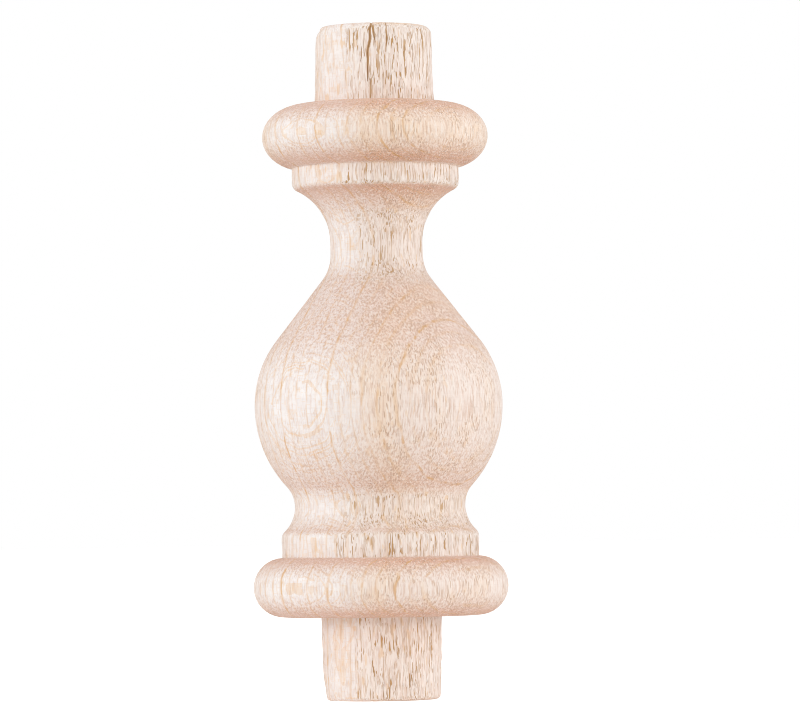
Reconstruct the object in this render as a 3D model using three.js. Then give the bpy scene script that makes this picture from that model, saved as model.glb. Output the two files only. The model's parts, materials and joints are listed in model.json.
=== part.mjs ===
// A small gallery-rail spindle, turned in one piece from a pale, close-grained hardwood.
//
// From the foot up: a round tenon, a half-round bead, a fillet, a shallow cove, a bulb that runs up
// as a cone to a narrow neck, a deep cove, a second fillet, a second bead and a second tenon.
// The tenons go into bored rails, and the flat shoulders of the two beads seat on the rails' faces.
//
// Millimetres, +Z up along the turning axis, origin at the middle of the lower tenon's end face.

import * as THREE from "three";

// Driving dimensions: heights are taken along the axis from the foot, diameters across it
const OVERALL_LENGTH = 46.0;

const LOWER_TENON = { length: 5.7, shoulderDiameter: 8.2, endDiameter: 7.95, endRound: 0.35 };
const UPPER_TENON = { length: 5.3, shoulderDiameter: 8.15, endDiameter: 7.9, endRound: 0.55 };

const LOWER_BEAD = { diameter: 17.4, height: 4.05, depth: 2.05 };
const UPPER_BEAD = { diameter: 15.45, height: 4.45, depth: 2.8 };

const LOWER_FILLET = { diameter: 13.45, arris: 0.55 };
const UPPER_FILLET = { diameter: 11.4, height: 0.93, arris: 0.55 };

const BULB = { diameter: 16.95, height: 20.1, lowerRadius: 8.2, upperRadius: 7.25, coneAngle: 37.8 };
const FOOT_COVE = { diameter: 11.65, upperRadius: 1.95, lowerRadius: 2.5 };
const NECK = { diameter: 6.3, lowerRadius: 2.75, coveRadius: 4.0 };

// Facets stay within this distance of the true curve, along the profile and around the axis
const CHORD_ERROR = 0.02;
const RIGHT_ANGLE = Math.PI / 2;

// Angle between neighbouring points on an arc of this radius
function arcStep(radius) {
  return 2 * Math.acos(1 - CHORD_ERROR / radius);
}

// Points of an elliptical arc in the half-plane of the profile: x is the radius, y the height
function ellipsePoints(x, y, xRadius, yRadius, from, to) {
  const steps = Math.ceil(Math.abs(to - from) / arcStep(Math.max(xRadius, yRadius)));
  return new THREE.EllipseCurve(x, y, xRadius, yRadius, from, to, to < from).getPoints(steps);
}

function arcPoints(centre, radius, from, to) {
  return ellipsePoints(centre.x, centre.y, radius, radius, from, to);
}

// Direction from one arc's centre to another's, where the two arcs touch
function bearing(from, to) {
  return Math.atan2(to.y - from.y, to.x - from.x);
}

// How far apart in height two centres lie, when their distance and their spacing across are known
function rise(distance, across) {
  return Math.sqrt(distance ** 2 - across ** 2);
}

// The flat end of the lower tenon, its rounded edge, and its slightly tapered side up to the shoulder
function lowerTenon() {
  const { length, shoulderDiameter, endDiameter, endRound } = LOWER_TENON;
  const centre = new THREE.Vector2(endDiameter / 2 - endRound, endRound);
  return [
    new THREE.Vector2(0, 0),
    ...arcPoints(centre, endRound, -RIGHT_ANGLE, 0),
    new THREE.Vector2(shoulderDiameter / 2, length),
  ];
}

// A bead's rounded section about its middle, between two angles from the horizontal
function beadPoints(bead, middle, from, to) {
  const inner = bead.diameter / 2 - bead.depth;
  return ellipsePoints(inner, middle, bead.depth, bead.height / 2, from, to);
}

// Angle on a bead's section where the fillet beside it starts
function filletAngle(bead, fillet) {
  const inner = bead.diameter / 2 - bead.depth;
  return Math.acos((fillet.diameter / 2 - inner) / bead.depth);
}

// The lower bead from its flat shoulder round to the fillet that stands on it
function lowerBead() {
  const middle = LOWER_TENON.length + LOWER_BEAD.height / 2;
  return beadPoints(LOWER_BEAD, middle, -RIGHT_ANGLE, filletAngle(LOWER_BEAD, LOWER_FILLET));
}

// Lower fillet, foot cove, bulb and the start of its cone: every arc touches the next one
function footAndBulb() {
  const bulbRadius = BULB.diameter / 2;
  const bulbLow = new THREE.Vector2(bulbRadius - BULB.lowerRadius, BULB.height);
  const bulbHigh = new THREE.Vector2(bulbRadius - BULB.upperRadius, BULB.height);

  const coveHigh = new THREE.Vector2(FOOT_COVE.diameter / 2 + FOOT_COVE.upperRadius, 0);
  const coveReach = BULB.lowerRadius + FOOT_COVE.upperRadius;
  coveHigh.y = BULB.height - rise(coveReach, coveHigh.x - bulbLow.x);
  const coveLow = new THREE.Vector2(FOOT_COVE.diameter / 2 + FOOT_COVE.lowerRadius, coveHigh.y);

  const arris = new THREE.Vector2(LOWER_FILLET.diameter / 2 - LOWER_FILLET.arris, 0);
  arris.y = coveLow.y - rise(FOOT_COVE.lowerRadius + LOWER_FILLET.arris, coveLow.x - arris.x);

  const cone = THREE.MathUtils.degToRad(BULB.coneAngle);
  return [
    ...arcPoints(arris, LOWER_FILLET.arris, 0, bearing(arris, coveLow)),
    ...arcPoints(coveLow, FOOT_COVE.lowerRadius, bearing(coveLow, arris), -Math.PI),
    ...arcPoints(coveHigh, FOOT_COVE.upperRadius, Math.PI, bearing(coveHigh, bulbLow)),
    ...arcPoints(bulbLow, BULB.lowerRadius, bearing(bulbLow, coveHigh), 0),
    ...arcPoints(bulbHigh, BULB.upperRadius, 0, cone),
  ];
}

// The neck's lower curve off the cone, its short straight waist, the deep cove and the upper fillet
function neckAndFillet() {
  const neckRadius = NECK.diameter / 2;
  const cone = THREE.MathUtils.degToRad(BULB.coneAngle);
  const reach = BULB.upperRadius + NECK.lowerRadius;
  const low = new THREE.Vector2(neckRadius + NECK.lowerRadius, 0);
  const coneRun = low.x - (BULB.diameter / 2 - BULB.upperRadius) - reach * Math.cos(cone);
  low.y = BULB.height + reach * Math.sin(cone) - coneRun / Math.tan(cone);

  const filletTop = OVERALL_LENGTH - UPPER_TENON.length - UPPER_BEAD.height;
  const arris = new THREE.Vector2(UPPER_FILLET.diameter / 2 - UPPER_FILLET.arris, 0);
  arris.y = filletTop - UPPER_FILLET.height;
  const cove = new THREE.Vector2(neckRadius + NECK.coveRadius, 0);
  cove.y = arris.y - rise(NECK.coveRadius + UPPER_FILLET.arris, cove.x - arris.x);
  return [
    ...arcPoints(low, NECK.lowerRadius, Math.PI + cone, Math.PI),
    ...arcPoints(cove, NECK.coveRadius, Math.PI, bearing(cove, arris)),
    ...arcPoints(arris, UPPER_FILLET.arris, bearing(arris, cove), 0),
  ];
}

// The upper bead, elliptical in section, from the fillet under it round to its flat shoulder
function upperBead() {
  const middle = OVERALL_LENGTH - UPPER_TENON.length - UPPER_BEAD.height / 2;
  return beadPoints(UPPER_BEAD, middle, -filletAngle(UPPER_BEAD, UPPER_FILLET), RIGHT_ANGLE);
}

// The upper tenon's tapered side, its rounded edge and its flat end
function upperTenon() {
  const { length, shoulderDiameter, endDiameter, endRound } = UPPER_TENON;
  const centre = new THREE.Vector2(endDiameter / 2 - endRound, OVERALL_LENGTH - endRound);
  return [
    new THREE.Vector2(shoulderDiameter / 2, OVERALL_LENGTH - length),
    ...arcPoints(centre, endRound, 0, RIGHT_ANGLE),
    new THREE.Vector2(0, OVERALL_LENGTH),
  ];
}

// The half-profile from the foot to the top, without the points that neighbouring stretches share
function profile() {
  const shared = CHORD_ERROR / 2;
  const stretches = [lowerTenon(), lowerBead(), footAndBulb(), neckAndFillet(), upperBead(), upperTenon()];
  return stretches.flat().filter((point, i, all) => i === 0 || point.distanceTo(all[i - 1]) > shared);
}

// Enough sides for the widest ring, in whole quarters so that the part is alike along X and Y
function sidesAround(diameter) {
  return 4 * Math.ceil((2 * Math.PI) / arcStep(diameter / 2) / 4);
}

// LatheGeometry turns its profile about Y, so the piece is tipped up to stand along Z
function spindle() {
  const wood = new THREE.MeshStandardMaterial({ color: 0xebd5c4, roughness: 0.62, metalness: 0 });
  const turned = new THREE.LatheGeometry(profile(), sidesAround(LOWER_BEAD.diameter));
  const mesh = new THREE.Mesh(turned, wood);
  mesh.name = "spindle";
  mesh.rotation.x = RIGHT_ANGLE;
  return mesh;
}

const part = new THREE.Group();
part.add(spindle());

export default part;
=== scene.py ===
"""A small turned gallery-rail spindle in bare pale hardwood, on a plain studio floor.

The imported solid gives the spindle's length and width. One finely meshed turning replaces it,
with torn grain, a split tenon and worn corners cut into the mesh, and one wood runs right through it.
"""

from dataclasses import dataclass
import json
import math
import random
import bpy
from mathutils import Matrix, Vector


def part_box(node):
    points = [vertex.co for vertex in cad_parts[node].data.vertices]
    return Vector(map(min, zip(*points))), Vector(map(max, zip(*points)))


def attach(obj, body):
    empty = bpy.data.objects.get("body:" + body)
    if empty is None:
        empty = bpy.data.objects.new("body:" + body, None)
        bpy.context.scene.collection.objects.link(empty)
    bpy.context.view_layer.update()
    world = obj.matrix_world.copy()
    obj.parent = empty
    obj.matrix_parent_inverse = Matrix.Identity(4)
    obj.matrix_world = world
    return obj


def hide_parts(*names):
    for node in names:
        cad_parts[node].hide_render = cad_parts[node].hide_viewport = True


bl_info = {
    "name": "Turned gallery spindle",
    "version": (1, 0, 0),
    "blender": (4, 5, 0),
    "location": "View3D > Sidebar > Spindle",
    "description": "Turns a small wooden spindle, gives it bare grain and sets up its studio",
    "category": "Object",
}

import bmesh
import bpy
from bpy.props import FloatProperty, FloatVectorProperty, IntProperty, PointerProperty
from mathutils import Matrix, Vector, noise

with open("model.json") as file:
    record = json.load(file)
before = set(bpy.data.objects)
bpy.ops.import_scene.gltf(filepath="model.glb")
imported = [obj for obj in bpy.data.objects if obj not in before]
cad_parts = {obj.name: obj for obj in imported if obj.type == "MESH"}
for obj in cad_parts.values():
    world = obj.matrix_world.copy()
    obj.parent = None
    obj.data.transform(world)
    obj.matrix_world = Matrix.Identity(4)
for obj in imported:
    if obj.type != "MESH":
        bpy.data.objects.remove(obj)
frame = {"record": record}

MM = 0.001
SOLID = "spindle"
PIECE = "turned_spindle"
SLOT = next(item["material_slot"] for item in frame["record"]["subparts"] if item["node"] == SOLID)
SOLID_LOW, SOLID_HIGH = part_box(SOLID)
SOLID_SIZE = (SOLID_HIGH - SOLID_LOW) / MM

# Mesh
WELD = 1e-7  # points closer than this are one, in metres
SHARP = math.radians(50)  # edges bent further than this stay crisp
MOST_TRIANGLES = 200_000  # the skin must have fewer triangles than this
FLAT = 0.99  # a face whose normal is more upright than this is flat
AXIS_CLEAR = 2.0 * MM  # closer to the axis than this, the sides aren't doubled
SPLIT_CUTS = 2  # cuts through each edge around the split
SPLIT_REACH = math.radians(9)  # how far those cuts go to each side of the split
SPLIT_INMOST = 0.8  # how far in they go, as a share of the tenon's radius

# How the skin cuts the wood, by how upright its normal is: pairs go from none to all
SIDE = (0.98, 0.6)
TORN_SLOPE = (0.9, 0.5)
LEVEL_LEAST = 0.3  # keeps the quarter-sawn share in bounds on the flat ends

# Torn grain: shares, and lengths in millimetres
SMOOTH_WOOD = 0.1  # how torn the wood is outside the torn stretches
QUARTER_TORN = 0.2  # share of the tearing that the quarter-sawn face has
TORN_FACING = (0.35, 0.6)  # how squarely a place faces the torn side: from none to all
FADE_OUTSIDE = 0.2  # a torn stretch starts to fade in this far outside its ends
FADE_INSIDE = 0.1  # and is in full this far inside them
STRAND_HEIGHT = 0.03
LUMP_HEIGHT = 0.045

# Cracks, in millimetres: pairs are the least and the most that chance gives
CRACK_SEED = 5
CRACK_SECTORS = 72
CRACKS_PER_MM = 9.0
CRACK_RUN = (0.5, 2.2)
CRACK_SWING = (-66.0, 62.0)  # degrees from the middle of the torn side
CRACK_WIDTH = (0.06, 0.09)
WIDER_PER_MM = 0.025  # how much wider a longer crack is
CRACK_DEPTH = (0.35, 0.75)  # shares of the most depth
CRACK_LEAN = 0.06
BENDS_PER_MM = 0.9
BENDS_APART = 9.0  # sets the bends of neighbouring cracks apart
SLIVER_WIDTH = 0.3  # from the split to the crack beside it

# Ends of the tenons, in millimetres
END_SKIN = 0.1  # a point this close to the end lies on its flat
RIM = (2.2, 3.6)  # radii between which cracks come to be open on the flat ends
END_BAND = (0.9, 0.5)  # distances from the end between which its paler band comes in
END_BAND_PALER = 0.5
WORN_FACING = math.radians(-90)
FOOT_WEAR, FOOT_WEAR_REACH = 0.16, 1.9
HEAD_WEAR, HEAD_WEAR_REACH = 0.2, 0.9

# What carve stores at each point of the mesh for the wood's colour
SHOWN = ("furrow", "ragged", "end_grain", "quarter", "ring_cut")

# Growth rings: how far each line lies from the axis towards the side that they face, in millimetres,
# and how strongly it is drawn
RINGS = (
    (-11.0, 0.5), (-10.0, 0.3), (-9.0, 0.8), (-8.1, 0.3), (-7.2, 0.5), (-6.3, 0.3), (-5.4, 0.9),
    (-4.4, 0.35), (-3.5, 0.5), (-2.5, 0.3), (-1.55, 1.0), (-0.75, 0.3), (0.0, 0.3), (0.85, 0.45),
    (1.6, 0.3), (2.4, 0.8), (3.2, 0.3), (3.95, 0.4), (4.6, 0.7), (5.4, 0.45), (6.35, 1.0),
    (6.95, 0.4), (7.5, 0.7), (8.3, 0.4), (9.1, 0.5), (10.0, 0.35), (11.0, 0.5),
)
LAST_RING = len(RINGS) - 1
RING_SPAN = 12.0  # the lines lie within this distance of the axis
RING_LEVEL = 14.0  # height at which each line is where the list says
WARM_YEAR = 18.5  # the warmest year, counted in ring lines
WARM_HEAD = (33.0, 38.0)  # heights between which the wood of the head turns warmer
TOOL_PITCH = 0.13  # between the lines that the tool left

# Rays are made of blocks: how many to a year, their thickness and height in millimetres, and a seed
BARS = (1.0, 0.15, 0.34, 1.0)
PLATES = (2.0, 0.21, 0.6, 2.0)
SHEETS = (0.4, 0.04, 6.0, 16.0)  # wide ones, which a round face cuts into ovals
ROW_SHIFT = 0.37  # rows of blocks are set off by this from year to year
SLAB_SHIFT = 0.23  # and by this from ray to ray

# Sockets of a Mix node that mixes colours
MIX_FACTOR, MIX_FIRST, MIX_SECOND = 0, 6, 7
MIX_RESULT = 2

# Studio
PICTURE_WIDTH = 800  # in pixels
FILM_WIDTH = 36.0  # in millimetres
PIXEL_FILTER = 1.0  # how far each pixel spreads, in pixels
FLOOR_RADIUS = 2.5  # in metres

# Lamps: where each stands, its width and height, in metres, and its tint
LAMPS = {
    "left": ((-0.42, -0.10, 0.10), (0.35, 0.25), (0.90, 0.96, 1.0)),
    "right": ((0.42, -0.06, 0.10), (0.35, 0.25), (0.95, 0.98, 1.0)),
    "front": ((0.0, -0.70, 0.15), (0.60, 0.10), (1.0, 0.98, 0.95)),
    "top": ((0.0, -0.05, 0.50), (0.40, 0.40), (0.88, 0.95, 1.0)),
}


# Properties

def length(name, description, millimetres):
    """A length, given in millimetres and held in metres."""
    return FloatProperty(
        name=name, description=description, default=millimetres * MM, unit="LENGTH", precision=5
    )


def angle(name, description, degrees):
    """An angle, given in degrees and held in radians."""
    return FloatProperty(
        name=name, description=description, default=math.radians(degrees), unit="ROTATION", subtype="ANGLE"
    )


def colour(name, description, value):
    """A colour in linear light."""
    return FloatVectorProperty(
        name=name, description=description, default=value, size=3, min=0.0, max=1.0, subtype="COLOR"
    )


def power(name, description, watts):
    """The power of a lamp."""
    return FloatProperty(name=name, description=description, default=watts, min=0.0, unit="POWER")


def factor(name, description, value):
    """A plain number from 0 to 1."""
    return FloatProperty(
        name=name, description=description, default=value, min=0.0, max=1.0, precision=3, subtype="FACTOR"
    )


class SpindleSizes(bpy.types.PropertyGroup):
    """The turned profile: lengths run along the axis, diameters across it."""

    overall_length: length("Overall length", "End to end, from the packed solid", SOLID_SIZE.z)

    lower_tenon_length: length("Lower tenon length", "From the foot to the shoulder", 5.7)
    lower_tenon_shoulder: length("Lower tenon at shoulder", "Diameter where it meets the bead", 8.2)
    lower_tenon_end: length("Lower tenon at end", "Diameter at the foot", 7.95)
    lower_tenon_round: length("Lower tenon round", "Radius of the edge at the foot", 0.35)

    upper_tenon_length: length("Upper tenon length", "From the shoulder to the top", 5.3)
    upper_tenon_shoulder: length("Upper tenon at shoulder", "Diameter where it meets the bead", 8.15)
    upper_tenon_end: length("Upper tenon at end", "Diameter at the top", 7.9)
    upper_tenon_round: length("Upper tenon round", "Radius of the edge at the top", 0.55)

    lower_bead_diameter: length("Lower bead", "Widest diameter, from the packed solid", SOLID_SIZE.x)
    lower_bead_height: length("Lower bead height", "Along the axis", 4.05)
    lower_bead_depth: length("Lower bead depth", "How far its round stands out", 2.05)

    upper_bead_diameter: length("Upper bead", "Widest diameter", 15.45)
    upper_bead_height: length("Upper bead height", "Along the axis", 4.45)
    upper_bead_depth: length("Upper bead depth", "How far its round stands out", 2.8)

    lower_fillet_diameter: length("Lower fillet", "Diameter of the band on the lower bead", 13.45)
    upper_fillet_diameter: length("Upper fillet", "Diameter of the band under the upper bead", 11.4)
    upper_fillet_height: length("Upper fillet height", "Along the axis, without its rounded edge", 0.93)
    fillet_arris: length("Fillet arris", "Radius of the fillets' rounded edges", 0.55)

    bulb_diameter: length("Bulb", "Widest diameter of the bulb", 16.95)
    bulb_height: length("Bulb height", "From the foot to its widest place", 20.1)
    bulb_lower_radius: length("Bulb lower radius", "Radius of its profile below the widest place", 8.2)
    bulb_upper_radius: length("Bulb upper radius", "Radius of its profile above the widest place", 7.25)
    cone_angle: angle("Cone angle", "Slope where the bulb runs out into its cone", 37.8)

    foot_cove_diameter: length("Foot cove", "Narrowest diameter under the bulb", 11.65)
    foot_cove_upper_radius: length("Foot cove upper radius", "Radius of its profile towards the bulb", 1.95)
    foot_cove_lower_radius: length("Foot cove lower radius", "Radius of its profile towards the fillet", 2.5)

    neck_diameter: length("Neck", "Narrowest diameter of all", 6.3)
    neck_lower_radius: length("Neck lower radius", "Radius of its profile towards the cone", 2.75)
    neck_cove_radius: length("Neck cove radius", "Radius of the deep cove above it", 4.0)

    mesh_spacing: length("Mesh spacing", "Distance between points along the smooth profile", 0.35)
    torn_spacing: length("Torn mesh spacing", "Distance between points where the grain is torn", 0.16)
    mesh_sides: IntProperty(name="Sides", description="Points around the smooth parts", default=208, min=12)


class WoodLook(bpy.types.PropertyGroup):
    """The grain, the marks that the tools left, and the colours of the wood."""

    ring_facing: angle("Ring facing", "How far right of the front the growth rings face", 50.0)
    ring_bow: factor("Ring bow", "Bend of the rings along the stem, per millimetre", 0.002)
    relief: length("Relief", "Height of the fine grain that stands out of the skin", 0.06)

    split_facing: angle("Split facing", "How far right of the front the upper tenon is split", -4.0)
    split_length: length("Split length", "How far the split runs down the upper tenon", 4.1)
    split_width: length("Split width", "Width of the split where it is open most", 0.22)
    split_depth: length("Split depth", "Depth of the split", 0.12)
    tear_facing: angle("Tear facing", "How far right of the front the grain is torn most", 38.0)
    tear_depth: length("Torn grain", "Most depth of the cracks in torn grain", 0.09)

    pale: colour("Pale wood", "Colour of the early wood", (0.88, 0.74, 0.665))
    warm: colour("Warm wood", "Colour of the yellower patches", (0.89, 0.67, 0.49))
    # The quarter-sawn face is paler wood, made whiter still as painted sheen
    quarter_wood_and_sheen: colour("Quarter wood", "Colour of the quarter-sawn face", (0.87, 0.81, 0.795))
    # Ray windows are paler ray flecks, painted whiter still as the rays' glint
    window: colour("Ray window", "Colour where a ray lies open", (0.95, 0.91, 0.895))
    ring: colour("Ring line", "Colour of a year's last wood", (0.68, 0.35, 0.10))
    # Light fibre is the paler colour of torn wood, and also painted highlight on raised fibres, strands and
    # specks
    fibre: colour("Light fibre", "Colour of raised fibres", (0.94, 0.85, 0.785))
    # Dark fibre is painted shade between raised fibres, strands and specks
    shade: colour("Dark fibre", "Colour between the fibres", (0.67, 0.44, 0.32))
    ray: colour("Ray fleck", "Colour of the dark rays", (0.84, 0.58, 0.36))
    pore: colour("Pore", "Colour inside the pores", (0.52, 0.27, 0.12))
    crack: colour("Crack", "Colour inside cracks and fissures", (0.52, 0.285, 0.10))
    # Painted shade: a darker copy of the crack colour for the deepest part of the split
    split_shade: colour("Crack core", "Colour deep inside the split", (0.34, 0.18, 0.06))
    end_tint: colour("End grain tint", "What the end grain multiplies the wood by", (0.855, 0.595, 0.485))


class StudioSetup(bpy.types.PropertyGroup):
    """Camera, lamps and floor."""

    eye_distance: length("Eye distance", "From the camera to the spindle's axis", 343.0)
    eye_height: length("Eye height", "Of the camera above the floor", 12.0)
    eye_pitch: angle("Pitch", "How far the camera looks up", 1.841)
    eye_yaw: angle("Yaw", "How far the camera looks to the right of the axis", 0.251)
    eye_roll: angle("Roll", "How far the camera leans to the right", 0.817)
    focal_pixels: FloatProperty(name="Focal length", description="In pixels of the picture", default=5018.0)

    left_power: power("Left lamp", "Power of the lamp on the left", 0.70)
    right_power: power("Right lamp", "Power of the lamp on the right", 0.70)
    front_power: power("Front lamp", "Power of the lamp beside the camera", 0.65)
    top_power: power("Top lamp", "Power of the lamp overhead", 0.5)
    surround: factor("Surround", "Strength of the white surroundings", 0.66)

    floor_colour: colour("Floor", "Colour of the floor", (0.83, 0.80, 0.775))
    floor_glow: factor("Floor glow", "How much whiter the floor looks than its light makes it", 0.6)
    foot_glow: factor("Foot glow", "How much light the floor gives close to the foot", 0.22)
    foot_reach: length("Foot reach", "How far from the axis that light spreads", 30.0)


# Turning

def at(radius, height):
    """A point of the half-profile, which lies in the XZ plane."""
    return Vector((radius, 0.0, height))


def bearing(start, end):
    """Direction from one point of the profile to another."""
    return math.atan2(end.z - start.z, end.x - start.x)


def rise(distance, across):
    """Height between two centres whose distance and spacing across are known."""
    return math.sqrt(distance ** 2 - across ** 2)


class ProfilePen:
    """Draws the half-profile from the foot: a line extrudes its last vertex, and an arc spins it."""

    def __init__(self, bm, spacing):
        self.bm = bm
        self.spacing = spacing
        self.tip = bm.verts.new((0.0, 0.0, 0.0))

    def line_to(self, radius, height):
        """Draws a straight line from the tip to that point."""
        way = at(radius, height) - self.tip.co
        steps = max(1, math.ceil(way.length / self.spacing))
        for _ in range(steps):
            made = bmesh.ops.extrude_vert_indiv(self.bm, verts=[self.tip])
            self.tip = made["verts"][0]
            bmesh.ops.translate(self.bm, verts=[self.tip], vec=way / steps)

    def arc_to(self, centre, direction):
        """Turns the tip about centre, the short way round, until it lies in that direction."""
        turn = math.remainder(direction - bearing(centre, self.tip.co), math.tau)
        steps = max(2, math.ceil(abs(turn) * (self.tip.co - centre).length / self.spacing))
        made = bmesh.ops.spin(
            self.bm, geom=[self.tip], cent=centre, axis=(0, -1, 0), angle=turn, steps=steps
        )
        self.tip = next(item for item in made["geom_last"] if isinstance(item, bmesh.types.BMVert))

    def oval_to(self, centre, stretch, direction):
        """Draws an arc as a round one, then stretches it across the axis."""
        about_centre = Matrix.Translation(-centre)
        self.bm.verts.ensure_lookup_table()
        first = self.tip.index
        bmesh.ops.scale(self.bm, vec=(1 / stretch, 1, 1), space=about_centre, verts=[self.tip])
        self.arc_to(centre, direction)
        self.bm.verts.index_update()
        self.bm.verts.ensure_lookup_table()
        bmesh.ops.scale(self.bm, vec=(stretch, 1, 1), space=about_centre, verts=self.bm.verts[first:])


def draw_lower_tenon(pen, sizes):
    """The flat foot, its rounded edge and the slightly tapered side."""
    end = sizes.lower_tenon_end / 2
    edge = sizes.lower_tenon_round
    pen.line_to(end - edge, 0.0)
    pen.spacing = sizes.torn_spacing
    pen.arc_to(at(end - edge, edge), 0.0)
    pen.line_to(sizes.lower_tenon_shoulder / 2, sizes.lower_tenon_length)


def draw_lower_bead(pen, sizes):
    """The flat shoulder and the bead's round, up to the fillet that stands on it."""
    depth = sizes.lower_bead_depth
    inner = sizes.lower_bead_diameter / 2 - depth
    middle = sizes.lower_tenon_length + sizes.lower_bead_height / 2
    fillet = math.acos((sizes.lower_fillet_diameter / 2 - inner) / depth)
    pen.spacing = sizes.mesh_spacing
    pen.line_to(inner, sizes.lower_tenon_length)
    pen.oval_to(at(inner, middle), 2 * depth / sizes.lower_bead_height, fillet)


def draw_fillet_and_bulb(pen, sizes):
    """The lower fillet, the foot cove and the bulb: every arc touches the next one."""
    bulb = sizes.bulb_diameter / 2
    bulb_low = at(bulb - sizes.bulb_lower_radius, sizes.bulb_height)
    bulb_high = at(bulb - sizes.bulb_upper_radius, sizes.bulb_height)

    cove_high = at(sizes.foot_cove_diameter / 2 + sizes.foot_cove_upper_radius, 0.0)
    cove_reach = sizes.bulb_lower_radius + sizes.foot_cove_upper_radius
    cove_high.z = sizes.bulb_height - rise(cove_reach, cove_high.x - bulb_low.x)
    cove_low = at(sizes.foot_cove_diameter / 2 + sizes.foot_cove_lower_radius, cove_high.z)

    fillet = sizes.lower_fillet_diameter / 2
    arris = at(fillet - sizes.fillet_arris, 0.0)
    arris_reach = sizes.foot_cove_lower_radius + sizes.fillet_arris
    arris.z = cove_low.z - rise(arris_reach, cove_low.x - arris.x)

    pen.spacing = sizes.torn_spacing
    pen.line_to(fillet, arris.z)
    pen.arc_to(arris, bearing(arris, cove_low))
    pen.arc_to(cove_low, math.pi)
    pen.arc_to(cove_high, bearing(cove_high, bulb_low))
    pen.spacing = sizes.mesh_spacing
    pen.arc_to(bulb_low, 0.0)
    pen.arc_to(bulb_high, sizes.cone_angle)


def draw_neck_and_fillet(pen, sizes):
    """The cone, the neck, the deep cove and the rounded edge of the upper fillet."""
    neck = sizes.neck_diameter / 2
    cone = sizes.cone_angle
    low = at(neck + sizes.neck_lower_radius, 0.0)
    reach = sizes.bulb_upper_radius + sizes.neck_lower_radius
    cone_run = sizes.bulb_diameter / 2 - sizes.bulb_upper_radius + reach * math.cos(cone) - low.x
    low.z = sizes.bulb_height + reach * math.sin(cone) + cone_run / math.tan(cone)
    cone_top = low - sizes.neck_lower_radius * at(math.cos(cone), math.sin(cone))

    fillet = sizes.upper_fillet_diameter / 2
    fillet_top = sizes.overall_length - sizes.upper_tenon_length - sizes.upper_bead_height
    arris = at(fillet - sizes.fillet_arris, fillet_top - sizes.upper_fillet_height)
    cove = at(neck + sizes.neck_cove_radius, 0.0)
    cove.z = arris.z - rise(sizes.neck_cove_radius + sizes.fillet_arris, cove.x - arris.x)

    pen.line_to(cone_top.x, cone_top.z)
    pen.spacing = sizes.torn_spacing
    pen.arc_to(low, math.pi)
    pen.line_to(neck, cove.z)
    pen.arc_to(cove, bearing(cove, arris))
    pen.arc_to(arris, 0.0)


def draw_upper_bead(pen, sizes):
    """The upper fillet's side and the bead's round, up to its flat shoulder."""
    depth = sizes.upper_bead_depth
    half = sizes.upper_bead_height / 2
    inner = sizes.upper_bead_diameter / 2 - depth
    middle = sizes.overall_length - sizes.upper_tenon_length - half
    fillet = sizes.upper_fillet_diameter / 2
    start = math.acos((fillet - inner) / depth)
    pen.line_to(fillet, middle - half * math.sin(start))
    pen.spacing = sizes.mesh_spacing
    pen.oval_to(at(inner, middle), depth / half, math.pi / 2)


def draw_upper_tenon(pen, sizes):
    """The shoulder, the slightly tapered side, its rounded edge and the flat top."""
    top = sizes.overall_length
    end = sizes.upper_tenon_end / 2
    edge = sizes.upper_tenon_round
    pen.line_to(sizes.upper_tenon_shoulder / 2, top - sizes.upper_tenon_length)
    pen.spacing = sizes.torn_spacing
    pen.line_to(end, top - edge)
    pen.arc_to(at(end - edge, top - edge), math.pi / 2)
    pen.spacing = sizes.mesh_spacing
    pen.line_to(0.0, top)


def turn_profile(bm, sizes):
    """Draws the half-profile and turns it about the axis into one closed skin."""
    pen = ProfilePen(bm, sizes.mesh_spacing)
    draw_lower_tenon(pen, sizes)
    draw_lower_bead(pen, sizes)
    draw_fillet_and_bulb(pen, sizes)
    draw_neck_and_fillet(pen, sizes)
    draw_upper_bead(pen, sizes)
    draw_upper_tenon(pen, sizes)
    bmesh.ops.spin(
        bm, geom=bm.verts[:] + bm.edges[:], cent=(0, 0, 0), axis=(0, 0, 1),
        angle=math.tau, steps=sizes.mesh_sides, use_merge=True,
    )
    bmesh.ops.remove_doubles(bm, verts=bm.verts, dist=WELD)
    bmesh.ops.recalc_face_normals(bm, faces=bm.faces)


# Torn grain, split and worn corners

def smooth(low, high, value):
    """0 below low, 1 above high, and an easy slope between them. Low may be the larger one."""
    share = min(1.0, max(0.0, (value - low) / (high - low)))
    return share * share * (3 - 2 * share)


class Spot:
    """Where a point of the turned skin lies, in millimetres, and how the skin cuts the wood there."""

    def __init__(self, vert, look):
        across = Vector((math.sin(look.ring_facing), -math.cos(look.ring_facing), 0.0))
        along = Vector((math.cos(look.ring_facing), math.sin(look.ring_facing), 0.0))
        self.height = vert.co.z / MM
        self.radius = vert.co.xy.length / MM
        self.facing = math.atan2(vert.co.x, -vert.co.y)
        self.across_rings = vert.co.dot(across) / MM
        self.along_rings = vert.co.dot(along) / MM
        self.end_grain = abs(vert.normal.z)
        self.on_side = smooth(*SIDE, self.end_grain)
        self.quarter = abs(vert.normal.dot(along)) / max(LEVEL_LEAST, vert.normal.xy.length)
        self.ring_cut = math.hypot(vert.normal.z, vert.normal.dot(along))
        self.tear_side = abs(math.cos(self.facing - look.tear_facing))

    def streak(self, width, run, shift):
        """Noise drawn out along the grain, from -1 to 1, in cells of this size."""
        cell = (self.across_rings / width + shift, self.along_rings / width, self.height / run)
        return noise.noise(Vector(cell))


@dataclass
class TornZone:
    """A stretch that the tool tore along the grain: its heights in millimetres, and how much."""

    low: float
    high: float
    much: float

    def holds(self, height):
        """Whether this height lies within the stretch."""
        return self.low <= height <= self.high

    def share_at(self, height):
        """How far the wood is torn at this height, with soft ends."""
        from_low = smooth(self.low - FADE_OUTSIDE, self.low + FADE_INSIDE, height)
        from_high = smooth(self.high + FADE_OUTSIDE, self.high - FADE_INSIDE, height)
        return self.much * (from_low * from_high)


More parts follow.
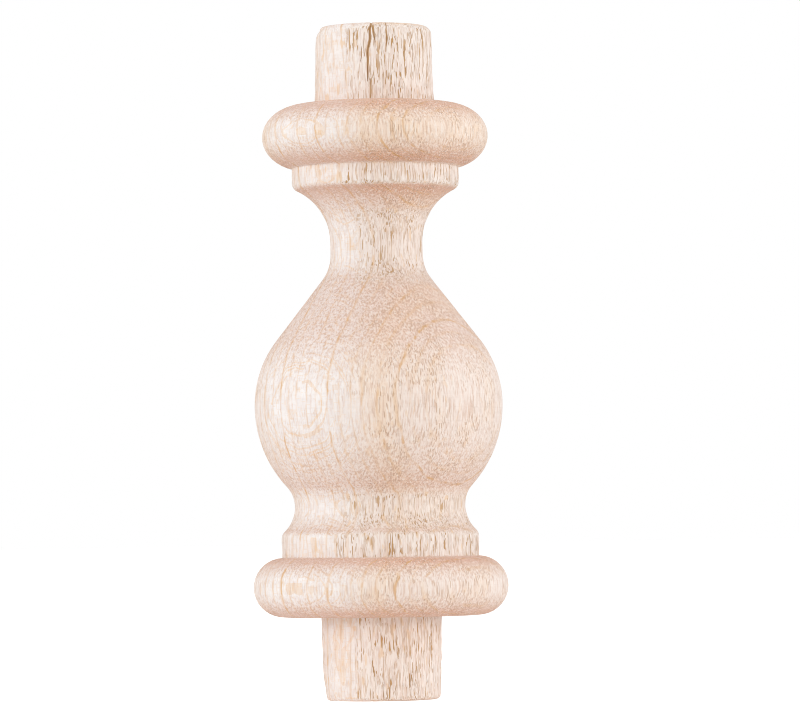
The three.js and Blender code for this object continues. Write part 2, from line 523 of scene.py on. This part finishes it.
def torn_zones(sizes):
    """The stretches that the tool tore, from the foot up."""
    top = sizes.overall_length / MM
    lower_shoulder = sizes.lower_tenon_length / MM
    upper_shoulder = top - sizes.upper_tenon_length / MM
    lower_fillet = lower_shoulder + sizes.lower_bead_height / MM
    upper_fillet = upper_shoulder - sizes.upper_bead_height / MM
    return [
        TornZone(0.0, lower_shoulder, much=1.0),  # lower tenon
        TornZone(lower_fillet, lower_fillet + 1.5, much=0.9),  # lower fillet
        TornZone(lower_fillet + 1.5, lower_fillet + 4.2, much=0.5),  # foot cove
        TornZone(upper_fillet - 8.0, upper_fillet - 3.0, much=0.5),  # neck
        TornZone(upper_fillet - 1.5, upper_fillet, much=0.9),  # upper fillet
        TornZone(upper_shoulder, top, much=1.0),  # upper tenon
    ]


def torn_share(spot, zones):
    """How far the tool tore the wood at this height, all round."""
    return max(SMOOTH_WOOD, *(zone.share_at(spot.height) for zone in zones))


def raggedness(spot, share):
    """How strongly the grain is torn here: least on the quarter-sawn face and on end grain."""
    facing = QUARTER_TORN + (1 - QUARTER_TORN) * smooth(*TORN_FACING, spot.tear_side)
    return share * facing * smooth(*TORN_SLOPE, spot.end_grain)


@dataclass
class Crack:
    """One crack along the grain, in millimetres: where it faces and starts, and how it runs up."""

    facing: float
    low: float
    run: float
    width: float
    depth: float
    lean: float
    wander: float = 0.12

    def depth_at(self, spot):
        """How deep the crack is here: most along its middle, and 0 beyond its edges and ends."""
        share = (spot.height - self.low) / self.run
        if not 0 < share < 1:
            return 0.0
        bend = noise.noise(Vector((self.facing * BENDS_APART, self.low, spot.height * BENDS_PER_MM)))
        middle = self.wander * bend + self.lean * (share - 0.5)
        turn = math.remainder(spot.facing - self.facing, math.tau)
        half_width = self.width / 2 * math.sqrt(math.sin(math.pi * share))
        return self.depth * max(0.0, 1 - abs(turn * spot.radius - middle) / half_width)


def torn_cracks(sizes, look):
    """Cracks in every torn stretch, on the two sides that the tool tore most."""
    draw = random.Random(CRACK_SEED)
    cracks = []
    for zone in torn_zones(sizes):
        reach = zone.high - zone.low
        most = zone.much * look.tear_depth / MM
        for number in range(round(CRACKS_PER_MM * zone.much * reach)):
            run = min(reach, draw.uniform(*CRACK_RUN))
            swing = math.radians(draw.uniform(*CRACK_SWING))
            facing = look.tear_facing + swing + math.pi * (number % 2)
            start = draw.uniform(zone.low - 0.3 * run, zone.high - 0.7 * run)
            width = draw.uniform(*CRACK_WIDTH) + WIDER_PER_MM * run
            depth = most * draw.uniform(*CRACK_DEPTH)
            cracks.append(Crack(facing, start, run, width, depth, lean=draw.gauss(0.0, CRACK_LEAN)))
    return cracks


def split_cracks(sizes, look):
    """The split down the upper tenon, and the shorter one that parts a sliver from its edge.

    Both are drawn past the top, so that they are still open where they reach it.
    """
    top = sizes.overall_length / MM
    run = look.split_length / MM
    width = look.split_width / MM
    depth = look.split_depth / MM
    beside = look.split_facing + SLIVER_WIDTH * MM / (sizes.upper_tenon_end / 2)
    return [
        Crack(look.split_facing, top - run, 1.25 * run, width, depth, lean=0.12, wander=0.25),
        Crack(beside, top - 0.35 * run, 0.4 * run, 0.7 * width, 0.6 * depth, lean=-0.3),
    ]


class CrackMap:
    """Cracks sorted by the sectors around the axis that they can reach."""

    def __init__(self, cracks):
        self.sectors = [[] for _ in range(CRACK_SECTORS)]
        for crack in cracks:
            middle = self.sector(crack.facing)
            for number in (middle - 1, middle, middle + 1):
                self.sectors[number % CRACK_SECTORS].append(crack)

    def sector(self, facing):
        """Number of the sector that faces this way, before whole turns are taken off."""
        return math.floor(facing / math.tau * CRACK_SECTORS)

    def depth_at(self, spot):
        """Depth of the deepest crack here, in millimetres."""
        near = self.sectors[self.sector(spot.facing) % CRACK_SECTORS]
        return max((crack.depth_at(spot) for crack in near), default=0.0)


def open_share(spot, top):
    """How far cracks open here: fully on the sides, and on the flat ends only near their rims."""
    if END_SKIN < spot.height < top - END_SKIN:
        return spot.on_side
    return max(spot.on_side, smooth(*RIM, spot.radius))


def torn_waves(spot, share, ragged):
    """How far the torn wood stands out in strands and lumps, in millimetres."""
    strands = STRAND_HEIGHT * ragged * spot.streak(width=0.25, run=2.4, shift=4.0)
    lumps = LUMP_HEIGHT * share * spot.streak(width=0.6, run=0.7, shift=9.0)
    return strands + lumps


def worn_corners(spot, top):
    """How far the edges of the tenons' ends are worn back on one side, in millimetres."""
    side = max(0.0, math.cos(spot.facing - WORN_FACING)) ** 2
    foot = FOOT_WEAR * smooth(FOOT_WEAR_REACH, 0.0, spot.height)
    head = HEAD_WEAR * smooth(HEAD_WEAR_REACH, 0.0, top - spot.height)
    return side * (foot + head)


def carve(bm, sizes, look):
    """Cuts the marks into the skin and stores, for the wood's colour, what each point shows."""
    layers = {name: bm.verts.layers.float.new(name) for name in SHOWN}
    cracks = CrackMap(torn_cracks(sizes, look) + split_cracks(sizes, look))
    zones = torn_zones(sizes)
    top = sizes.overall_length / MM
    bm.normal_update()
    for vert in bm.verts:
        spot = Spot(vert, look)
        share = torn_share(spot, zones)
        ragged = raggedness(spot, share)
        crack = cracks.depth_at(spot) * open_share(spot, top)
        end_band = smooth(*END_BAND, min(spot.height, top - spot.height))
        vert[layers["furrow"]] = crack * MM / look.split_depth
        vert[layers["ragged"]] = ragged
        vert[layers["end_grain"]] = spot.end_grain * (1 - END_BAND_PALER * end_band)
        vert[layers["quarter"]] = spot.quarter
        vert[layers["ring_cut"]] = spot.ring_cut
        depth = crack + spot.on_side * (worn_corners(spot, top) - torn_waves(spot, share, ragged))
        vert.co -= vert.normal * depth * MM


def refine_torn(bm, sizes):
    """Doubles the sides wherever the grain is torn, so that narrow cracks fit between the points."""
    zones = torn_zones(sizes)

    def torn(vert):
        height = vert.co.z / MM
        return vert.co.xy.length > AXIS_CLEAR and any(zone.holds(height) for zone in zones)

    def runs_round(edge):
        first, second = (vert.co for vert in edge.verts)
        level = abs(first.z - second.z) < WELD
        return level and abs(first.xy.length - second.xy.length) < WELD

    flats = {face for face in bm.faces if abs(face.normal.z) > FLAT}
    edges = [
        edge for edge in bm.edges
        if runs_round(edge) and all(torn(vert) for vert in edge.verts)
        and not flats.issuperset(edge.link_faces)
    ]
    bmesh.ops.subdivide_edges(bm, edges=edges, cuts=1)


def refine_split(bm, sizes, look):
    """Divides the mesh around the split, so that its edges come out clean."""
    lowest = sizes.overall_length - look.split_length - sizes.mesh_spacing
    inmost = SPLIT_INMOST * sizes.upper_tenon_end / 2

    def near(vert):
        facing = math.atan2(vert.co.x, -vert.co.y) - look.split_facing
        return vert.co.z > lowest and abs(facing) < SPLIT_REACH and vert.co.xy.length > inmost

    edges = [edge for edge in bm.edges if all(near(vert) for vert in edge.verts)]
    bmesh.ops.subdivide_edges(bm, edges=edges, cuts=SPLIT_CUTS, use_grid_fill=True)


def check_skin(bm):
    """Raises an error unless the skin is closed and light enough to be kept whole."""
    if not all(edge.is_manifold for edge in bm.edges):
        raise RuntimeError("The turned skin isn't closed")
    triangles = len(bm.calc_loop_triangles())
    if triangles >= MOST_TRIANGLES:
        raise RuntimeError(f"The turned skin has {triangles} triangles, too many for one piece")


# Wood

class Wire:
    """One output of a material's nodes. Arithmetic on it adds Math nodes."""

    def __init__(self, tree, socket=None):
        self.tree = tree
        self.socket = socket

    def node(self, kind, settings=None, inputs=None, output=0):
        """Adds a node: its settings first, then the values or links of its sockets."""
        made = self.tree.nodes.new(kind)
        for name, value in (settings or {}).items():
            if name == "stops":
                fill_ramp(made.color_ramp, value)
            else:
                setattr(made, name, value)
        for name, value in (inputs or {}).items():
            if isinstance(value, Wire):
                self.tree.links.new(value.socket, made.inputs[name])
            else:
                made.inputs[name].default_value = value
        return Wire(self.tree, made.outputs[output] if len(made.outputs) else None)

    def math(self, operation, *values):
        """Adds a Math node on these values or links."""
        return self.node("ShaderNodeMath", {"operation": operation}, dict(enumerate(values)))

    def __add__(self, other):
        return self.math("ADD", self, other)

    def __sub__(self, other):
        return self.math("SUBTRACT", self, other)

    def __rsub__(self, other):
        return self.math("SUBTRACT", other, self)

    def __mul__(self, other):
        return self.math("MULTIPLY", self, other)

    def __truediv__(self, other):
        return self.math("DIVIDE", self, other)

    __radd__ = __add__
    __rmul__ = __mul__


def fill_ramp(ramp, stops):
    """Gives a colour ramp these grey stops, each a position and a value."""
    while len(ramp.elements) < len(stops):
        ramp.elements.new(1.0)
    for element, (position, value) in zip(ramp.elements, stops):
        element.position = position
        element.color = (value, value, value, 1.0)


def attribute(wire, name):
    """What carve stored in the mesh under this name."""
    return wire.node("ShaderNodeAttribute", {"attribute_name": name}, output="Fac")


def part(vector, axis):
    """One coordinate of a vector, X, Y or Z."""
    return vector.node("ShaderNodeSeparateXYZ", inputs={"Vector": vector}, output=axis)


def stretched(place, across, along):
    """Grain coordinates in cells of this size, in millimetres."""
    scale = (1 / across, 1 / across, 1 / along)
    return place.node("ShaderNodeVectorMath", {"operation": "MULTIPLY"}, {0: place, 1: scale})


def cloud(place, across, along, detail=1.0):
    """Soft noise with cells of this size, in millimetres, mostly from 0.25 to 0.75."""
    inputs = {"Vector": stretched(place, across, along), "Scale": 1.0, "Detail": detail}
    return place.node("ShaderNodeTexNoise", inputs=inputs)


def between(value, low, high):
    """0 at low, 1 at high, eased, and held beyond them. Low may be the larger one."""
    settings = {"interpolation_type": "SMOOTHSTEP"}
    return value.node("ShaderNodeMapRange", settings, {"Value": value, "From Min": low, "From Max": high})


def mixed(mask, first, second, blend="MIX"):
    """Mixes two colours, given as wires or as three numbers."""
    settings = {"data_type": "RGBA", "blend_type": blend, "clamp_factor": True}
    first, second = (c if isinstance(c, Wire) else (*c, 1.0) for c in (first, second))
    inputs = {MIX_FACTOR: mask, MIX_FIRST: first, MIX_SECOND: second}
    return mask.node("ShaderNodeMix", settings, inputs, output=MIX_RESULT)


def bent(place, across, along, reach):
    """Grain coordinates pushed sideways by soft noise with cells of this size, in millimetres."""
    inputs = {"Vector": stretched(place, across, along), "Scale": 1.0}
    push = place.node("ShaderNodeTexNoise", inputs=inputs, output="Color")
    centred = place.node("ShaderNodeVectorMath", {"operation": "SUBTRACT"}, {0: push, 1: (0.5, 0.5, 0.5)})
    pushed = {0: centred, 1: (reach, reach, 0.0), 2: place}
    return place.node("ShaderNodeVectorMath", {"operation": "MULTIPLY_ADD"}, pushed)


def grain_place(wire, look):
    """Grain coordinates in millimetres: X across the rings, Y along them and Z along the stem."""
    return wire.node("ShaderNodeMapping", inputs={
        "Vector": wire.node("ShaderNodeTexCoord", output="Object"),
        "Rotation": (0.0, 0.0, math.pi / 2 - look.ring_facing),
        "Scale": (1 / MM, 1 / MM, 1 / MM),
    })


def tool_lines(place):
    """Noise about 0.5 that runs round the spindle, as a tool leaves it."""
    across, along = part(place, "X"), part(place, "Y")
    radius = place.math("SQRT", across * across + along * along)
    section = place.node("ShaderNodeCombineXYZ", inputs={"X": radius, "Z": part(place, "Z")})
    return cloud(section, TOOL_PITCH, TOOL_PITCH)


def ring_share(across):
    """Where a place across the rings lies in their span, from 0 to 1: takes a number or a wire."""
    return (across + RING_SPAN) / (2 * RING_SPAN)


def ring_count(place, look):
    """Counts the growth rings: whole numbers lie on the ring lines."""
    height = part(place, "Z") - RING_LEVEL
    share = ring_share(part(place, "X") + height * height * look.ring_bow)
    stops = [(ring_share(line), number / LAST_RING) for number, (line, _) in enumerate(RINGS)]
    return LAST_RING * place.node("ShaderNodeValToRGB", {"stops": stops}, {"Fac": share})


def ring_strength(rings):
    """How strongly the nearest ring line is drawn."""
    stops = [(number / LAST_RING, strength) for number, (_, strength) in enumerate(RINGS)]
    return rings.node("ShaderNodeValToRGB", {"stops": stops}, {"Fac": rings / LAST_RING})


def ray_blocks(place, rings, kind):
    """A random number for each block of this kind of ray. Blocks end on lines that follow the rings."""
    per_year, thickness, height, seed = kind
    column = rings.math("FLOOR", rings * per_year)
    slab = rings.math("FLOOR", part(place, "Y") / thickness)
    row = rings.math("FLOOR", part(place, "Z") / height + column * ROW_SHIFT + slab * SLAB_SHIFT)
    corner = rings.node("ShaderNodeCombineXYZ", inputs={"X": column, "Y": slab, "Z": row})
    inputs = {"Vector": corner, "W": seed}
    return rings.node("ShaderNodeTexWhiteNoise", {"noise_dimensions": "4D"}, inputs, output="Value")


def ray_lattice(place, rings, kind):
    """Thin lines around blocks of this kind on the quarter-sawn face."""
    per_year, _, height, _ = kind
    columns = rings * per_year
    upright = between(rings.math("PINGPONG", columns, 0.5), 0.1, 0.03)
    rows = part(place, "Z") / height + rings.math("FLOOR", columns) * ROW_SHIFT
    level = between(rings.math("PINGPONG", rows, 0.5), 0.08, 0.03)
    return rings.math("MAXIMUM", upright, level)


class Grain:
    """What shows where in the wood: masks from 0 to 1, and noise about 0.5, for colour and relief."""

    def __init__(self, wire, look):
        straight = grain_place(wire, look)
        self.wire = wire
        self.place = bent(straight, 1.6, 3.0, 0.35)
        self.wavy = bent(self.place, 0.6, 0.9, 0.2)
        self.rings = ring_count(self.wavy, look)
        self.end_grain = attribute(wire, "end_grain")
        self.ragged = attribute(wire, "ragged")
        self.quarter = between(attribute(wire, "quarter"), 0.75, 0.97)
        self.furrow = attribute(wire, "furrow")
        self.end = self.end_grain * self.end_grain * self.end_grain * 1.6
        self.patches = cloud(self.place, 1.3, 2.2)
        self.tool = tool_lines(straight)
        self.find_rings()
        self.find_rays()
        self.find_fibres()
        self.find_tears()

    def find_rings(self):
        """Ring lines with a glow beside them, and the warmer wood."""
        off_line = self.wire.math("PINGPONG", self.rings, 0.5)
        drawn = between(attribute(self.wire, "ring_cut"), 0.25, 0.75) * ring_strength(self.rings)
        unbroken = 0.3 + 0.7 * between(cloud(self.place, 0.5, 0.9, detail=0.0), 0.46, 0.6)
        self.ring_glow = between(off_line, 0.3, 0.0) * between(self.patches, 0.38, 0.58) * drawn
        self.ring_line = between(off_line, 0.12, 0.04) * unbroken * drawn
        year = between(self.wire.math("ABSOLUTE", self.rings - WARM_YEAR), 1.6, 0.4)
        head = between(part(self.place, "Z"), *WARM_HEAD)
        blotch = between(self.patches, 0.4, 0.7)
        self.warmth = (blotch * 0.4 + year * 0.5 + head * 0.6) * (1 - self.ragged)

    def find_rays(self):
        """Windows, dark bars and ovals where the skin runs along the rays."""
        flecked = self.quarter * (1 - self.end)
        bars = ray_blocks(self.place, self.rings, BARS)
        plates = ray_blocks(self.place, self.rings, PLATES)
        sheets = ray_blocks(self.place, self.rings, SHEETS)
        dashes = between(cloud(self.place, 0.12, 0.5), 0.4, 0.55)
        lattice = ray_lattice(self.place, self.rings, PLATES)
        ovals = between(sheets, 0.84, 0.87) * 1.6
        self.light_ray = (between(bars, 0.36, 0.3) + between(plates, 0.42, 0.36)) * flecked
        self.dark_ray = ((between(bars, 0.86, 0.9) + lattice) * dashes + ovals) * flecked

    def find_fibres(self):
        """Fibres, stains and pores along the grain, and the specks of the end grain."""
        self.fibres = cloud(self.place, 0.11, 1.7, detail=2.0)
        self.stains = between(cloud(self.place, 0.3, 0.9, detail=0.0), 0.7, 0.8)
        thick = 0.35 + 0.65 * between(self.patches, 0.38, 0.6)
        dots = between(cloud(self.place, 0.09, 0.7, detail=0.0), 0.6, 0.7)
        self.pores = dots * thick * (1 - 0.75 * self.quarter)
        self.specks = cloud(self.place, 0.13, 0.26, detail=2.5)
        self.speckled = between(self.end_grain, 0.1, 0.75) * (1 - 0.15 * self.quarter)

    def find_tears(self):
        """Strands and fissures of the torn grain."""
        self.strands = cloud(self.wavy, 0.11, 1.2)
        long_gaps = between(cloud(self.wavy, 0.105, 2.8, detail=0.0), 0.64, 0.69)
        short_gaps = between(cloud(self.wavy, 0.085, 0.75, detail=0.0), 0.65, 0.7)
        deep = 0.4 + 0.55 * between(cloud(self.place, 0.8, 1.6), 0.46, 0.58)
        torn = between(self.ragged, 0.0, 0.7)
        self.fissures = self.wire.math("MAXIMUM", long_gaps, short_gaps) * torn * deep


def wood_colour(grain, look):
    """Pale wood, then its rays, rings, fibres and pores, then what the tools did to it; highlight and shade
    of the fine relief and of the deep split are painted in too.
    """
    contrast = 0.55 * (1 - 0.4 * grain.quarter)
    wood = mixed(grain.warmth, look.pale, look.warm)
    # Paler quarter-sawn wood, with painted sheen making it whiter still
    wood = mixed(grain.quarter * 0.85, wood, look.quarter_wood_and_sheen)
    # Paler ray flecks, with a painted glint making them near white
    wood = mixed(grain.light_ray * 0.3, wood, look.window)
    wood = mixed(grain.dark_ray * 0.3, wood, look.ray)
    # Painted highlight on the raised fibres and painted shade between them, from the noise that raises them
    # in the relief
    wood = mixed(between(grain.fibres, 0.5, 0.64) * contrast, wood, look.fibre)
    wood = mixed(between(grain.fibres, 0.48, 0.34) * contrast, wood, look.shade)
    wood = mixed(grain.ring_glow * 0.5 + grain.stains * 0.4, wood, look.ray)
    wood = mixed(grain.pores * 0.55, wood, look.pore)
    wood = mixed(grain.end, wood, look.end_tint, "MULTIPLY")
    # Painted highlight on the end grain's raised specks and painted shade between them
    wood = mixed(between(grain.specks, 0.52, 0.62) * grain.speckled * 0.45, wood, look.fibre)
    wood = mixed(between(grain.specks, 0.48, 0.38) * grain.speckled, wood, look.shade)
    wood = mixed(grain.ring_line * 0.68, wood, look.ring)
    wood = mixed(grain.ragged * 0.62, wood, look.fibre)
    # Painted highlight on the torn strands and painted shade between them
    wood = mixed(between(grain.strands, 0.5, 0.6) * grain.ragged * 0.5, wood, look.fibre)
    wood = mixed(between(grain.strands, 0.5, 0.4) * grain.ragged * 0.28, wood, look.shade)
    wood = mixed(grain.stains * between(grain.ragged, 0.1, 0.2) * 0.5, wood, look.ray)
    wood = mixed(grain.fissures, wood, look.crack)
    wood = mixed(between(grain.furrow, 0.11, 0.26) * 0.88, wood, look.crack)
    # Painted shade in the deepest part of the split, on top of the shade that its real depth casts
    return mixed(between(grain.furrow, 0.65, 1.0) * 0.3, wood, look.split_shade)


def wood_relief(grain):
    """Height of the fine relief: raised strands and specks, sunk pores and fissures, and tool lines."""
    plain = grain.fibres * 0.5 - grain.pores * 0.4 + grain.specks * grain.speckled
    turned = grain.tool * (1 - grain.ragged) * 0.5
    return plain + turned + grain.strands * grain.ragged * 0.6 - grain.fissures * 0.3


def new_material(name):
    """A material without nodes, and the wire that adds them."""
    material = bpy.data.materials.new(name)
    material.use_nodes = True
    material.node_tree.nodes.clear()
    return material, Wire(material.node_tree)


def make_wood(look):
    """Bare wood, solid right through: rings, rays, pores and fibres, torn and end grain."""
    material, wire = new_material(SLOT)
    grain = Grain(wire, look)
    bump = wire.node("ShaderNodeBump", inputs={
        "Height": wood_relief(grain),
        "Strength": 1.0,
        "Distance": look.relief,
    })
    shader = wire.node("ShaderNodeBsdfPrincipled", inputs={
        "Base Color": wood_colour(grain, look),
        "Roughness": 0.62 + 0.15 * grain.fibres - 0.15 * grain.quarter,
        "Normal": bump,
        "Specular IOR Level": 0.5,
        "Sheen Weight": 0.2,
        "Sheen Roughness": 0.5,
    })
    wire.node("ShaderNodeOutputMaterial", inputs={"Surface": shader})
    return material


class SPINDLE_OT_turn(bpy.types.Operator):
    """Turns the spindle, carves its marks and gives it the bare wood"""

    bl_idname = "spindle.turn"
    bl_label = "Turn the spindle"
    bl_options = {"REGISTER", "UNDO"}

    def execute(self, context):
        sizes = context.scene.spindle_sizes
        look = context.scene.spindle_look
        bm = bmesh.new()
        turn_profile(bm, sizes)
        refine_torn(bm, sizes)
        refine_split(bm, sizes, look)
        carve(bm, sizes, look)
        check_skin(bm)
        mesh = bpy.data.meshes.new(PIECE)
        bm.to_mesh(mesh)
        bm.free()
        mesh.shade_smooth()
        mesh.set_sharp_from_angle(angle=SHARP)
        mesh.materials.append(make_wood(look))
        piece = bpy.data.objects.new(PIECE, mesh)
        context.scene.collection.objects.link(piece)
        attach(piece, "root")
        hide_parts(SOLID)
        return {"FINISHED"}


# Studio

def add_camera(scene, studio):
    """The camera of the picture: it looks along +Y, a little up, and leans over slightly."""
    camera = bpy.data.cameras.new("camera")
    camera.sensor_width = FILM_WIDTH
    camera.lens = FILM_WIDTH * studio.focal_pixels / PICTURE_WIDTH
    camera.clip_start = 0.01
    camera.clip_end = 20.0
    holder = bpy.data.objects.new("camera", camera)
    holder.matrix_world = (
        Matrix.Translation((0.0, -studio.eye_distance, studio.eye_height))
        @ Matrix.Rotation(-studio.eye_yaw, 4, "Z")
        @ Matrix.Rotation(math.pi / 2 + studio.eye_pitch, 4, "X")
        @ Matrix.Rotation(-studio.eye_roll, 4, "Z")
    )
    scene.collection.objects.link(holder)
    scene.camera = holder


def add_lamp(scene, name, watts):
    """A soft rectangular lamp that faces the middle of the spindle."""
    place, size, tint = LAMPS[name]
    lamp = bpy.data.lights.new(f"{name}_lamp", "AREA")
    lamp.shape = "RECTANGLE"
    lamp.size, lamp.size_y = size
    lamp.energy = watts
    lamp.color = tint
    holder = bpy.data.objects.new(lamp.name, lamp)
    holder.location = place
    middle = at(0.0, scene.spindle_sizes.overall_length / 2)
    holder.rotation_euler = (middle - Vector(place)).to_track_quat("-Z", "Y").to_euler()
    scene.collection.objects.link(holder)


def add_floor(scene, studio):
    """A wide plain disc under the foot, which looks white and lights the foot a little."""
    bm = bmesh.new()
    bmesh.ops.create_circle(bm, cap_ends=True, segments=128, radius=FLOOR_RADIUS)
    mesh = bpy.data.meshes.new("floor")
    bm.to_mesh(mesh)
    bm.free()
    material, wire = new_material("floor")
    seen = wire.node("ShaderNodeLightPath", output="Is Camera Ray")
    place = wire.node("ShaderNodeTexCoord", output="Object")
    distance = wire.node("ShaderNodeVectorMath", {"operation": "LENGTH"}, {0: place}, output="Value")
    glow = seen * studio.floor_glow + between(distance, studio.foot_reach, 0.0) * studio.foot_glow
    paint = wire.node("ShaderNodeBsdfPrincipled", inputs={
        "Base Color": (*studio.floor_colour, 1.0),
        "Roughness": 0.9,
        "Emission Color": mixed(glow, (0.0, 0.0, 0.0), (1.0, 1.0, 1.0)),
        "Emission Strength": 1.0,
    })
    wire.node("ShaderNodeOutputMaterial", inputs={"Surface": paint})
    mesh.materials.append(material)
    floor = bpy.data.objects.new("floor", mesh)
    scene.collection.objects.link(floor)


def add_surround(scene, studio):
    """White surroundings: full white to the camera, and a softer light on the spindle."""
    world = bpy.data.worlds.new("surround")
    world.use_nodes = True
    world.node_tree.nodes.clear()
    wire = Wire(world.node_tree)
    seen = wire.node("ShaderNodeLightPath", output="Is Camera Ray")
    shade = mixed(seen, (studio.surround,) * 3, (1.0, 1.0, 1.0))
    light = wire.node("ShaderNodeBackground", inputs={"Color": shade, "Strength": 1.0})
    wire.node("ShaderNodeOutputWorld", inputs={"Surface": light})
    scene.world = world


class SPINDLE_OT_stage(bpy.types.Operator):
    """Sets the camera, the floor, the lamps and the white surroundings"""

    bl_idname = "spindle.stage"
    bl_label = "Set the stage"
    bl_options = {"REGISTER", "UNDO"}

    def execute(self, context):
        scene = context.scene
        studio = scene.spindle_studio
        add_camera(scene, studio)
        add_floor(scene, studio)
        add_surround(scene, studio)
        for name in LAMPS:
            add_lamp(scene, name, getattr(studio, f"{name}_power"))
        scene.cycles.filter_width = PIXEL_FILTER
        scene.view_settings.view_transform = "Standard"
        return {"FINISHED"}


class SPINDLE_PT_panel(bpy.types.Panel):
    """Sizes, wood and studio of the spindle, and the buttons that make them"""

    bl_idname = "SPINDLE_PT_panel"
    bl_label = "Turned spindle"
    bl_space_type = "VIEW_3D"
    bl_region_type = "UI"
    bl_category = "Spindle"

    def draw(self, context):
        scene = context.scene
        for group in (scene.spindle_sizes, scene.spindle_look, scene.spindle_studio):
            box = self.layout.box()
            for name in group.__annotations__:
                box.prop(group, name)
        self.layout.operator(SPINDLE_OT_turn.bl_idname)
        self.layout.operator(SPINDLE_OT_stage.bl_idname)


CLASSES = (SpindleSizes, WoodLook, StudioSetup, SPINDLE_OT_turn, SPINDLE_OT_stage, SPINDLE_PT_panel)


def register():
    """Registers the classes and hangs the three groups of values on the scene."""
    for item in CLASSES:
        bpy.utils.register_class(item)
    bpy.types.Scene.spindle_sizes = PointerProperty(type=SpindleSizes)
    bpy.types.Scene.spindle_look = PointerProperty(type=WoodLook)
    bpy.types.Scene.spindle_studio = PointerProperty(type=StudioSetup)


def unregister():
    """Takes away what register added, in the opposite order."""
    del bpy.types.Scene.spindle_studio
    del bpy.types.Scene.spindle_look
    del bpy.types.Scene.spindle_sizes
    for item in reversed(CLASSES):
        bpy.utils.unregister_class(item)


def main():
    """Makes the spindle and its stage."""
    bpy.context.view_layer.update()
    register()
    bpy.ops.spindle.turn()
    bpy.ops.spindle.stage()


if __name__ == "__main__":
    main()
